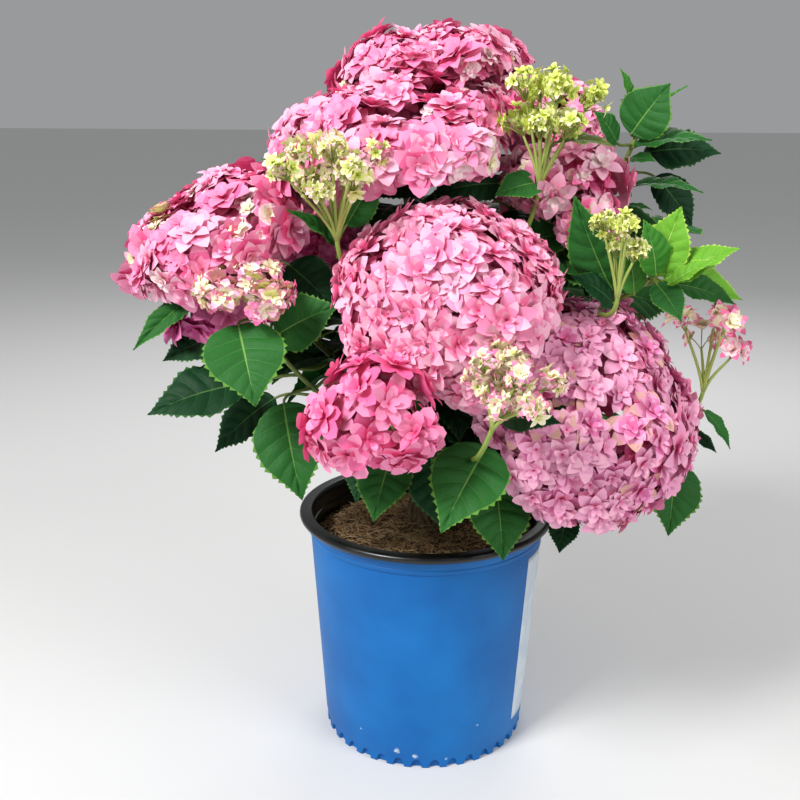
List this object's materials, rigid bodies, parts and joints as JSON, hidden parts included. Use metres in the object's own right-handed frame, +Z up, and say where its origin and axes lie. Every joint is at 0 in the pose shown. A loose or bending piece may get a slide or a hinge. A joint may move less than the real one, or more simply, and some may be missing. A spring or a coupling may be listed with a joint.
{
  "type": "potted hydrangea shrub",
  "caption": "Mophead hydrangea shrub in full pink flower, with serrated green leaves, standing in a blue nursery pot with a black rolled rim.",
  "frame": {"origin": "centre of the pot's flat underside", "axes": "+Z up the pot's own axis, +X to the right and +Y to the back of the plant as the picture shows it"},
  "size_m": [0.558, 0.5191, 0.6749],
  "materials": {
    "pot_blue": "satin",
    "rim_black": "gloss",
    "growing_mix": "matte",
    "bark": "matte",
    "cane": "matte",
    "leaf": "satin",
    "young_leaf": "satin",
    "petal": "matte",
    "mauve_petal": "matte",
    "cream_bud": "matte",
    "lime_bud": "matte"
  },
  "bodies": {
    "root": {"pot_shell": "pot_blue", "pot_rim": "rim_black", "growing_mix": "growing_mix", "stem_base": "bark", "cane_front": "cane", "cane_right": "cane", "cane_left": "cane", "cane_upper": "cane", "cane_top": "cane", "cane_right_upper": "cane", "cane_right_back": "cane", "cane_low": "cane", "cane_back_left": "cane", "cane_back_right": "cane", "cane_back": "cane", "leaves_front": "leaf", "leaves_right": "leaf", "leaves_left": "leaf", "leaves_upper": "leaf", "leaves_top": "leaf", "leaves_right_upper": "leaf", "leaves_right_back": "leaf", "leaves_low": "leaf", "leaves_back_left": "leaf", "leaves_back_right": "leaf", "leaves_back": "leaf", "leaves_left_small": "leaf", "leaves_right_top": "leaf", "leaves_right_edge": "young_leaf", "leaves_left_buds": "leaf", "leaves_right_buds": "leaf", "leaves_far_buds": "leaf", "bloom_front": "petal", "bloom_right": "mauve_petal", "bloom_left": "petal", "bloom_upper": "petal", "bloom_top": "petal", "bloom_right_upper": "petal", "bloom_right_back": "petal", "bloom_low": "petal", "bloom_back_left": "petal", "bloom_back_right": "petal", "bloom_back": "petal", "bloom_shaded": "petal", "bloom_left_small": "petal", "bloom_left_low": "petal", "buds_left_buds": "cream_bud", "buds_right_buds": "lime_bud", "buds_edge_buds": "lime_bud", "buds_front_buds": "cream_bud", "buds_far_buds": "cream_bud"}
  },
  "joints": []
}
